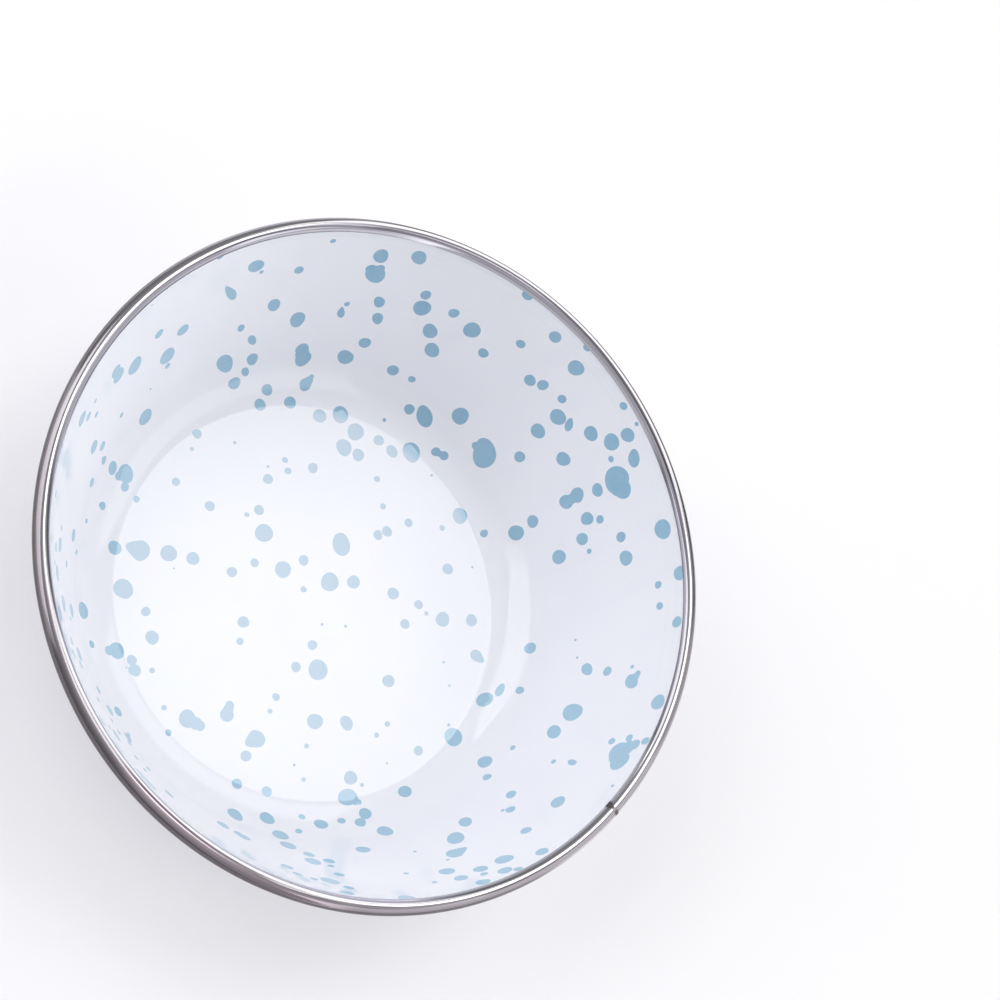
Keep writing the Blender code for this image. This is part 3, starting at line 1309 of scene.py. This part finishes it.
LOWER_WALL = (
    Drop(x=476.6, y=656, size=12.4, tail=0.3, heading=-40, stretch=1.35),
    Drop(x=484.5, y=699.6, size=15.4, heading=22, stretch=1.35),
    Drop(x=500, y=690, size=10.6, heading=55, stretch=1.75), Drop(x=519.8, y=690.3, size=8.0),
    Drop(x=453.2, y=737, size=18.0), Drop(x=485, y=762, size=13.0), Drop(x=487, y=777, size=7.4),
    Drop(x=511, y=794.5, size=8.8), Drop(x=510.5, y=809.5, size=7.8), Drop(x=502.7, y=810.4, size=3.2),
    Drop(x=558, y=802, size=12.2), Drop(x=404.8, y=791.6, size=12.5, heading=-5, stretch=1.15),
    Drop(x=465.4, y=822, size=11.1, heading=8, stretch=1.42),
    Drop(x=455.6, y=838.2, size=14.3, heading=8, stretch=1.5),
    Drop(x=455.5, y=853, size=13.0, tail=0.5, heading=25), Drop(x=526, y=830.5, size=8.3),
    Drop(x=542, y=851.7, size=9.4), Drop(x=504, y=859.4, size=12.2), Drop(x=505, y=870.5, size=9.5),
    Drop(x=518, y=869, size=6.0), Drop(x=447, y=871.4, size=10.0), Drop(x=461, y=878, size=8.6),
    Drop(x=480.6, y=869, size=9.4), Drop(x=484, y=874, size=5.2), Drop(x=483, y=882, size=8.8),
    Drop(x=406.6, y=898, size=9.0), Drop(x=365.2, y=813.8, size=11.9, heading=-30, stretch=1.15),
    Drop(x=360.4, y=822.5, size=9.9, heading=-10, stretch=1.45),
    Drop(x=385.1, y=831.5, size=12.3, heading=-5, stretch=1.95), Drop(x=363, y=849.6, size=9.3),
    Drop(x=235.1, y=814.9, size=12.3, heading=-36, stretch=2.0),
    Drop(x=267, y=818.4, size=12.7, heading=-32, stretch=1.75),
    Drop(x=301.9, y=816.8, size=6.0, heading=-25, stretch=1.5),
    Drop(x=320.9, y=824.2, size=11.2, heading=-20, stretch=1.7),
    Drop(x=341.4, y=820.8, size=6.9, heading=-10, stretch=1.5),
    Drop(x=298.7, y=831.2, size=5.7, heading=-15, stretch=1.7), Drop(x=280.4, y=835.6, size=11.3),
    Drop(x=288, y=845.4, size=10.0), Drop(x=309, y=854.5, size=6.7), Drop(x=313, y=861.5, size=9.6),
    Drop(x=329, y=861, size=7.0), Drop(x=331, y=866, size=4.0), Drop(x=287, y=866.6, size=6.2),
    Drop(x=297.6, y=874, size=5.2), Drop(x=314, y=879, size=4.4), Drop(x=330, y=881, size=10.0),
    Drop(x=339, y=874.5, size=6.0), Drop(x=348.5, y=887.6, size=5.4), Drop(x=346.7, y=893, size=7.0),
    Drop(x=223, y=825, size=7.0), Drop(x=239, y=834, size=6.0), Drop(x=244, y=837, size=7.0),
    Drop(x=406, y=873.5, size=3.4), Drop(x=414.9, y=851.7, size=2.6), Drop(x=434.5, y=882.3, size=3.4),
    Drop(x=447.8, y=859.8, size=2.6),
)

FLOOR = (
    Drop(x=197, y=433.7, size=9.5), Drop(x=319.6, y=416, size=13.3), Drop(x=340.3, y=414.8, size=16.4),
    Drop(x=355.6, y=431.9, size=16.6), Drop(x=344, y=447.6, size=16.0), Drop(x=358.2, y=455, size=12.0),
    Drop(x=378.8, y=440.4, size=10.4), Drop(x=392, y=451.4, size=11.6, heading=-60, stretch=1.35),
    Drop(x=459.8, y=515.9, size=15.2), Drop(x=313, y=468, size=10.0), Drop(x=268, y=479, size=10.0),
    Drop(x=285, y=460, size=6.0), Drop(x=288, y=471, size=7.0), Drop(x=377, y=479, size=6.0),
    Drop(x=210, y=506, size=10.0), Drop(x=259, y=510, size=10.0), Drop(x=264, y=533, size=18.0),
    Drop(x=341.3, y=544.4, size=20.0, heading=-80, stretch=1.33), Drop(x=378, y=535, size=9.5),
    Drop(x=387, y=531.5, size=10.2), Drop(x=408.5, y=522.8, size=8.4), Drop(x=193, y=558.5, size=13.0),
    Drop(x=254.6, y=562.8, size=8.6), Drop(x=232, y=572, size=10.2), Drop(x=283, y=569.5, size=16.4),
    Drop(x=303.6, y=560.3, size=10.3), Drop(x=329.8, y=582, size=18.2), Drop(x=353.5, y=582, size=13.0),
    Drop(x=393.2, y=593.5, size=11.6), Drop(x=418.6, y=604.6, size=8.8),
    Drop(x=442.6, y=619.4, size=14.2), Drop(x=471.4, y=620.3, size=11.6),
    Drop(x=447.8, y=569, size=10.8), Drop(x=405, y=624, size=9.6), Drop(x=243.4, y=622, size=11.6),
    Drop(x=240, y=641.4, size=7.2), Drop(x=312.4, y=645, size=9.8), Drop(x=296, y=667, size=10.0),
    Drop(x=318, y=669.8, size=19.8), Drop(x=388.4, y=681, size=12.2), Drop(x=276, y=697, size=7.6),
    Drop(x=187.5, y=718.8, size=17.6), Drop(x=200, y=725.6, size=10.6), Drop(x=195, y=723, size=13.6),
    Drop(x=226.8, y=715, size=13.6), Drop(x=228.4, y=709.6, size=10.6),
    Drop(x=229.8, y=705.2, size=8.6), Drop(x=256, y=739, size=18.0, tail=0.4, heading=210),
    Drop(x=246, y=756, size=11.0), Drop(x=315, y=721.4, size=15.6),
    Drop(x=346.4, y=723, size=13.6, heading=-55, stretch=1.4), Drop(x=418.4, y=750.6, size=9.4),
    Drop(x=350.6, y=777.8, size=13.6), Drop(x=347.6, y=797.3, size=18.2, heading=-5, stretch=1.12),
    Drop(x=354.8, y=800.6, size=9.0), Drop(x=359, y=802, size=5.4), Drop(x=237, y=783.8, size=10.5),
    Drop(x=266.8, y=791.6, size=10.4), Drop(x=303.6, y=779.6, size=4.4), Drop(x=362, y=785, size=4.0),
    Drop(x=246.8, y=514.7, size=5.0), Drop(x=192, y=449, size=4.0), Drop(x=234.8, y=442.5, size=3.4),
    Drop(x=268, y=466.5, size=3.0), Drop(x=322, y=624.4, size=3.0), Drop(x=345.6, y=626.3, size=3.0),
    Drop(x=303.6, y=589.4, size=6.0), Drop(x=426.3, y=613.4, size=4.2),
    Drop(x=442.2, y=527.9, size=5.6), Drop(x=383, y=506.4, size=6.0), Drop(x=431.7, y=475.4, size=2.8),
    Drop(x=270, y=711.2, size=5.0), Drop(x=306.6, y=746, size=5.0), Drop(x=376.5, y=735.2, size=5.0),
    Drop(x=387.3, y=724, size=5.6), Drop(x=294.3, y=765, size=3.0), Drop(x=443.7, y=662.2, size=3.0),
    Drop(x=449.5, y=685.8, size=3.0), Drop(x=472.3, y=567.3, size=2.4),
    Drop(x=448.7, y=724.8, size=3.4), Drop(x=387, y=763.4, size=2.2),
)


class Grade(Enum):
    """How finely a drop's blank is made: number of sides and of inner rings."""

    SPECK = (8, 0)
    SMALL = (16, 0)
    LARGE = (30, 1)


@dataclass
class Spatter:
    """The blue drops on both faces of the bowl.

    The inside drops stand where the photograph shows them. Those on the part
    of the inside that the photograph doesn't show, and on the outside, are
    scattered by a seeded draw with the same sizes.

    Attributes:
        crown: Mean height of a drop over the enamel.
        sunk: How far its closed underside lies under the enamel's face.
        run: How much longer than wide a drop has run on the wall.
        third_share: Strength of the threefold unevenness against the twofold one.
        tail_draw: How much longer a full tail makes its end.
        tail_pinch: How much narrower it makes that end.
        level_share: Share of the floor's radius on which drops are laid in flat coordinates.
        hidden_column: Pixel column left of which the photograph shows nothing.
        grazing: Least cosine at which the inside still shows.
        smallness: Power that makes small drops commoner than large ones.
    """

    line: BowlLine
    view: PhotoView
    crown: float = 0.000022
    sunk: float = 0.000030
    run: float = 0.13
    unevenness: Point = (0.02, 0.05)
    crown_spread: Point = (0.75, 1.25)
    third_share: float = 0.7
    widest: float = 0.0034
    large_from: float = 0.0014
    speck_below: float = 0.0005
    ring_inset: float = 0.45
    tail_draw: float = 0.9
    tail_pinch: float = 0.55
    level_share: float = 0.6
    hidden_column: float = 178.0
    grazing: float = 0.02
    drop_radii: Point = (0.0006, 0.0026)
    speck_radii: Point = (0.00012, 0.00035)
    smallness: float = 2.2
    tailed_share: float = 0.08
    tail_length: float = 0.5
    tail_swing: float = 0.4
    lip_margin: float = 0.001
    inside_seed: int = 41
    outside_seed: int = 77
    inside_drops: int = 330
    inside_specks: int = 50
    outside_drops: int = 190
    outside_specks: int = 90
    clear_of_base: float = 0.004
    blanks: dict[Grade, bpy.types.Object] = field(default_factory=dict)

    POOL = "pool"
    BLANK_MIDDLE = -0.5

    def make_blank(self, grade: Grade) -> bpy.types.Object:
        """Model a round drop of radius 1 once: a flat crown and a skirt closed underneath.

        Args:
            grade: How finely it is made.

        Returns:
            The blank.
        """
        sides, rings = grade.value
        deselect_all()
        bpy.ops.mesh.primitive_circle_add(vertices=sides, radius=1.0, fill_type="TRIFAN")
        blank = bpy.context.object
        bpy.ops.object.mode_set(mode="EDIT")
        for _ in range(rings):
            bpy.ops.mesh.select_all(action="SELECT")
            bpy.ops.mesh.inset(thickness=self.ring_inset)
        bpy.ops.mesh.select_all(action="DESELECT")
        bpy.ops.mesh.select_mode(type="EDGE")
        bpy.ops.mesh.select_non_manifold()
        bpy.ops.mesh.extrude_region_move(TRANSFORM_OT_translate={"value": (0.0, 0.0, -1.0)})
        bpy.ops.mesh.edge_face_add()
        bpy.ops.mesh.select_all(action="SELECT")
        bpy.ops.mesh.normals_make_consistent(inside=False)
        bpy.ops.object.mode_set(mode="OBJECT")
        pool = blank.data.attributes.new(self.POOL, "FLOAT", "POINT")
        for vertex in blank.data.vertices:
            pool.data[vertex.index].value = 1.0 - min(1.0, hypot(vertex.co.x, vertex.co.y))
        return blank

    def spot_of(self, drop: Drop) -> Spot:
        """Turn a drop of the photograph into a spot on the inside face.

        Args:
            drop: The drop in pixels.

        Returns:
            The spot, as wide on the face as the drop looks from the camera.
        """
        along, azimuth = self.view.seen_place(drop.x, drop.y, self.line)
        reach = PROBE
        radius = max(self.line.at(along)[0], reach)
        here = self.view.pixel(self.line.skin(along, azimuth, 0.0, Face.INSIDE))
        uphill = self.view.pixel(self.line.skin(along + reach, azimuth, 0.0, Face.INSIDE))
        round_it = self.view.pixel(self.line.skin(along, azimuth + reach / radius, 0.0, Face.INSIDE))
        a, b = (uphill[0] - here[0]) / reach, (round_it[0] - here[0]) / reach
        c, d = (uphill[1] - here[1]) / reach, (round_it[1] - here[1]) / reach
        area = a * d - b * c
        right, down = cos(radians(drop.heading)), -sin(radians(drop.heading))
        ahead = Vector(((d * right - b * down) / area, (a * down - c * right) / area))
        aside = Vector(((-d * down - b * right) / area, (a * right + c * down) / area))
        turn = atan2(ahead.y, ahead.x)
        wide = min(drop.size / 2 / sqrt(abs(area)), self.widest)
        if drop.stretch is None:
            return Spot(along, azimuth, wide, self.run_at(along), 0.0, drop.tail, turn)
        ahead, aside = ahead * sqrt(drop.stretch), aside / sqrt(drop.stretch)
        spread = (ahead.x ** 2 + aside.x ** 2 - ahead.y ** 2 - aside.y ** 2) / 2
        skew = ahead.x * ahead.y + aside.x * aside.y
        mean = (ahead.length_squared + aside.length_squared) / 2
        uneven = hypot(spread, skew)
        stretch = sqrt((mean + uneven) / (mean - uneven))
        return Spot(along, azimuth, wide, stretch, atan2(skew, spread) / 2, drop.tail, turn)

    def run_at(self, along: float) -> float:
        """How much longer than wide a drop has run at a place: not on the floor, most on the wall."""
        return 1.0 + self.run * min(1.0, self.line.at(along)[2] / self.line.foot_slope)

    def lay(self, spot: Spot, face: Face, draw: random.Random) -> bpy.types.Object:
        """Lay a copy of a blank on a face.

        Args:
            spot: Where and how big.
            face: Which face of the wall.
            draw: Source of the small unevenness.

        Returns:
            The drop as its own object.
        """
        grade = Grade.LARGE if spot.radius > self.large_from else Grade.SMALL
        blank = self.blanks[Grade.SPECK if spot.radius < self.speck_below else grade]
        drop = blank.copy()
        drop.data = blank.data.copy()
        bpy.context.scene.collection.objects.link(drop)
        second, third = draw.uniform(0.0, 2 * pi), draw.uniform(0.0, 2 * pi)
        uneven = draw.uniform(*self.unevenness)
        crown = self.crown * draw.uniform(*self.crown_spread)
        longer, narrower = sqrt(spot.stretch), 1 / sqrt(spot.stretch)
        hand = 1.0 if face is Face.INSIDE else -1.0
        middle_radius = self.line.at(spot.along)[0]
        for vertex in drop.data.vertices:
            out = hypot(vertex.co.x, vertex.co.y)
            angle = atan2(vertex.co.y, vertex.co.x)
            reach = spot.radius * out
            reach *= 1.0 + uneven * (sin(2 * angle + second) + self.third_share * sin(3 * angle + third))
            lean = max(0.0, cos(angle))
            ahead = reach * cos(angle) * (1.0 + self.tail_draw * spot.tail * lean ** 2)
            aside = reach * sin(angle) * (1.0 - self.tail_pinch * spot.tail * lean)
            from_length = spot.turn - spot.lean
            length = (ahead * cos(from_length) - aside * sin(from_length)) * longer
            width = (ahead * sin(from_length) + aside * cos(from_length)) * narrower
            up = length * cos(spot.lean) - width * sin(spot.lean)
            across = (length * sin(spot.lean) + width * cos(spot.lean)) * hand
            lift = -self.sunk if vertex.co.z < self.BLANK_MIDDLE else crown
            if spot.along < self.level_share * self.line.floor_radius:
                along = hypot(spot.along + up, across)
                azimuth = spot.azimuth + atan2(across, spot.along + up)
            else:
                along = spot.along + up
                azimuth = spot.azimuth + across / middle_radius
            vertex.co = self.line.skin(min(along, self.line.lip), azimuth, lift, face)
        return drop

    def scatter(self, draw: random.Random, count: int, radii: Point) -> list[Spot]:
        """Draw places evenly over the line's turned face.

        Args:
            draw: The seeded source.
            count: Number of places drawn.
            radii: Least and greatest radius.

        Returns:
            The spots.
        """
        spots = []
        top_radius = self.line.at(self.line.lip)[0]
        while len(spots) < count:
            along = draw.uniform(0.0, self.line.lip - self.lip_margin)
            azimuth = draw.uniform(-pi, pi)
            radius = radii[0] + (radii[1] - radii[0]) * draw.random() ** self.smallness
            tail = self.tail_length if draw.random() < self.tailed_share else 0.0
            turn = draw.uniform(-self.tail_swing, self.tail_swing)
            spot = Spot(along, azimuth, radius, self.run_at(along), 0.0, tail, turn)
            if draw.random() < self.line.at(along)[0] / top_radius:
                spots.append(spot)
        return spots

    def hidden(self, spot: Spot) -> bool:
        """Whether the photograph leaves a place of the inside out.

        Args:
            spot: The place.

        Returns:
            True if it lies outside the photograph or faces away.
        """
        point = self.line.skin(spot.along, spot.azimuth, 0.0, Face.INSIDE)
        lifted = self.line.skin(spot.along, spot.azimuth, LIFT, Face.INSIDE)
        to_eye = (self.view.eye - point).normalized()
        facing = (lifted - point).normalized().dot(to_eye)
        return self.view.pixel(point)[0] < self.hidden_column or facing < self.grazing

    def join(self, drops: Sequence[bpy.types.Object]) -> bpy.types.Object:
        """Join laid drops into one piece.

        Args:
            drops: The drops of one face.

        Returns:
            The joined piece.
        """
        deselect_all()
        for drop in drops:
            drop.select_set(True)
        bpy.context.view_layer.objects.active = drops[0]
        bpy.ops.object.join()
        bpy.ops.object.shade_smooth_by_angle(angle=SHARP_ANGLE)
        return bpy.context.object

    def build(self) -> None:
        """Lay and dress the drops of both faces."""
        self.blanks = {grade: self.make_blank(grade) for grade in Grade}

        draw = random.Random(self.inside_seed)
        spots = [self.spot_of(drop) for drop in UPPER_WALL + RIGHT_WALL + LOWER_WALL + FLOOR]
        unseen = self.scatter(draw, self.inside_drops, self.drop_radii)
        unseen += self.scatter(draw, self.inside_specks, self.speck_radii)
        spots += [spot for spot in unseen if self.hidden(spot)]
        inside = self.join([self.lay(spot, Face.INSIDE, draw) for spot in spots])
        finish_piece(inside, "inside_drops", DropEnamel("inside_blue").material())

        draw = random.Random(self.outside_seed)
        spots = self.scatter(draw, self.outside_drops, self.drop_radii)
        spots += self.scatter(draw, self.outside_specks, self.speck_radii)
        spots = [spot for spot in spots if spot.along > self.line.floor_radius + self.clear_of_base]
        outside = self.join([self.lay(spot, Face.OUTSIDE, draw) for spot in spots])
        finish_piece(outside, "outside_drops", DropEnamel("outside_blue").material())

        for blank in self.blanks.values():
            bpy.data.objects.remove(blank)


@dataclass(frozen=True)
class Lamp:
    """A soft disc of light, far away.

    Attributes:
        name: Its name.
        azimuth: Direction round the bowl it comes from.
        elevation: Height above the floor it comes from.
        width: Angular width of the disc.
        strength: Light that falls square on a surface.
        colour: Its colour.
    """

    name: str
    azimuth: float
    elevation: float
    width: float
    strength: float
    colour: Colour = (1.0, 1.0, 1.0)

    def build(self) -> None:
        """Hang the lamp."""
        data = bpy.data.lights.new(self.name, "SUN")
        data.angle = self.width
        data.energy = self.strength
        data.color = self.colour
        lamp = bpy.data.objects.new(self.name, data)
        bpy.context.scene.collection.objects.link(lamp)
        level = cos(self.elevation)
        source = Vector((level * cos(self.azimuth), level * sin(self.azimuth), sin(self.elevation)))
        lamp.rotation_euler = source.to_track_quat("Z", "Y").to_euler()


@dataclass(frozen=True)
class PanelCloth(Finish):
    """Lit cloth of the side panel, a little uneven."""

    strength: float
    bright: Colour = (1.0, 1.0, 1.0)
    dim: Colour = (0.93, 0.935, 0.95)

    def paint(self, sheet: Sheet) -> None:
        """Lay out the folds.

        Args:
            sheet: The empty sheet.
        """
        cloth = sheet.blend(sheet.noise(sheet.place(), scale=1.2, detail=2.0), self.bright, self.dim)
        sheet.surface({"Base Color": cloth, "Emission Color": cloth, "Emission Strength": self.strength})


@dataclass(frozen=True)
class Glint:
    """A corner of the side panel's mirror image in the bowl, read off the photograph.

    Attributes:
        x: Pixel column.
        y: Pixel row.
    """

    x: float
    y: float


@dataclass(frozen=True)
class SidePanel:
    """Lit panel beside the bowl, cut so that its mirror image is the one in the photograph."""

    line: BowlLine
    view: PhotoView
    distance: float = 2.0
    strength: float = 1.36
    outline: tuple[Glint, ...] = (
        Glint(x=506, y=552), Glint(x=527, y=566), Glint(x=531, y=590), Glint(x=532, y=613),
        Glint(x=535, y=613), Glint(x=534, y=630), Glint(x=532, y=641), Glint(x=528, y=658),
        Glint(x=519, y=681), Glint(x=512, y=693), Glint(x=497, y=714), Glint(x=472, y=744),
        Glint(x=480, y=716), Glint(x=490.5, y=688), Glint(x=497, y=673), Glint(x=503.5, y=650),
        Glint(x=507, y=627), Glint(x=509, y=596), Glint(x=509.5, y=560),
    )

    def mirrored(self, glint: Glint) -> tuple[Vector, Vector]:
        """Where a line of sight meets the enamel and where it goes from there.

        Args:
            glint: The pixel.

        Returns:
            The place on the inside face and the mirrored direction.
        """
        along, azimuth = self.view.seen_place(glint.x, glint.y, self.line)
        place = self.line.skin(along, azimuth, 0.0, Face.INSIDE)
        square = (self.line.skin(along, azimuth, LIFT, Face.INSIDE) - place).normalized()
        return place, self.view.sight(glint.x, glint.y).reflect(square).normalized()

    def build(self) -> None:
        """Hang the panel square to the middle of its mirrored outline."""
        rays = [self.mirrored(glint) for glint in self.outline]
        square = sum((heading for _, heading in rays), Vector()).normalized()
        deselect_all()
        bpy.ops.mesh.primitive_circle_add(vertices=len(rays), radius=1.0, fill_type="NGON")
        panel = bpy.context.object
        panel.name = "side_panel"
        for vertex, (place, heading) in zip(panel.data.vertices, rays):
            vertex.co = place + heading * ((self.distance - place.dot(square)) / heading.dot(square))
        panel.data.materials.append(PanelCloth("panel_cloth", self.strength).material())
        panel.visible_camera = False


@dataclass(frozen=True)
class RoomPanel:
    """A lit stretch of the room's wall.

    Attributes:
        azimuth: Direction of its middle, round the bowl.
        half: Half of its angular width.
        top: Elevation of its upper edge.
        colour: Its light.
    """

    azimuth: float
    half: float
    top: float
    colour: Colour

    def share(self, sheet: Sheet, direction: tuple[Signal, Signal, Signal], edge: float) -> Signal:
        """Where the panel shows.

        Args:
            sheet: The room's sheet.
            direction: The three parts of the direction looked in.
            edge: Softness of the panel's edges.

        Returns:
            1 on the panel and 0 beside it.
        """
        x, y, z = direction
        facing = towards(x, y, self.azimuth) / sheet.math("SQRT", x * x + y * y + TINY)
        side = sheet.step(facing, cos(self.half + edge), cos(self.half - edge))
        return side * (1.0 - sheet.step(z, sin(self.top - edge), sin(self.top + edge)))


@dataclass(frozen=True)
class Studio:
    """Pale floor, one soft lamp, one lit side panel and a grey room with three white walls."""

    line: BowlLine
    view: PhotoView
    floor_side: float = 8.0
    floor_drop: float = 0.00005
    key: Lamp = Lamp("key_lamp", radians(96), radians(67), radians(24.6), 0.37)
    room: Colour = (0.45, 0.452, 0.46)
    ceiling: Colour = (0.62, 0.62, 0.627)
    skylight: Colour = (0.95, 0.95, 0.957)
    ceiling_edge: float = radians(51)
    skylight_edge: float = radians(78)
    skylight_softness: float = radians(6)
    panels: tuple[RoomPanel, ...] = (
        RoomPanel(azimuth=radians(23), half=radians(45), top=radians(51), colour=(1.70, 1.70, 1.71)),
        RoomPanel(azimuth=radians(106), half=radians(24), top=radians(51), colour=(1.95, 1.95, 1.96)),
        RoomPanel(azimuth=radians(220), half=radians(30), top=radians(51), colour=(1.35, 1.35, 1.36)),
    )
    edge: float = radians(1.5)

    def build_floor(self) -> None:
        """Lay the floor."""
        deselect_all()
        bpy.ops.mesh.primitive_grid_add(x_subdivisions=4, y_subdivisions=4, size=self.floor_side)
        floor = bpy.context.object
        floor.name = "studio_floor"
        for vertex in floor.data.vertices:
            vertex.co.z = -self.floor_drop
        floor.data.materials.append(PaleFloor("studio_pale").material())

    def build_room(self) -> None:
        """Paint the room: grey, with a paler ceiling and skylight and white walls on three sides."""
        world = bpy.data.worlds.new("studio_room")
        bpy.context.scene.world = world
        world.use_nodes = True
        sheet = Sheet(world.node_tree)
        direction = sheet.axes(sheet.node("ShaderNodeTexCoord").outputs["Generated"])
        up = direction[2]
        above = sheet.step(up, sin(self.ceiling_edge - self.edge), sin(self.ceiling_edge + self.edge))
        soft = self.skylight_softness
        over = sheet.step(up, sin(self.skylight_edge - soft), sin(self.skylight_edge + soft))
        colour = sheet.blend(above, self.room, sheet.blend(over, self.ceiling, self.skylight))
        for panel in self.panels:
            colour = sheet.blend(panel.share(sheet, direction, self.edge), colour, panel.colour)
        glow = sheet.node("ShaderNodeBackground", None, {"Color": colour})
        sheet.node("ShaderNodeOutputWorld", None, {"Surface": glow.outputs[0]})

    def build(self) -> None:
        """Set up floor, room and lights."""
        self.build_floor()
        self.build_room()
        self.key.build()
        SidePanel(self.line, self.view).build()
        bpy.context.scene.view_settings.view_transform = "Standard"


def main() -> None:
    """Build the bowl, its drops and the studio."""
    logging.basicConfig(level=logging.INFO, format="%(name)s: %(message)s")
    rim_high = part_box("rim_band")[1]
    line = BowlLine(rim_radius=rim_high.x, height=rim_high.z)
    view = PhotoView(Vector((0.0, 0.0, line.bead_centre[1])))
    view.build()
    Wall(line).build()
    RimStrip(line).build()
    Spatter(line, view).build()
    Studio(line, view).build()


if __name__ == "__main__":
    main()
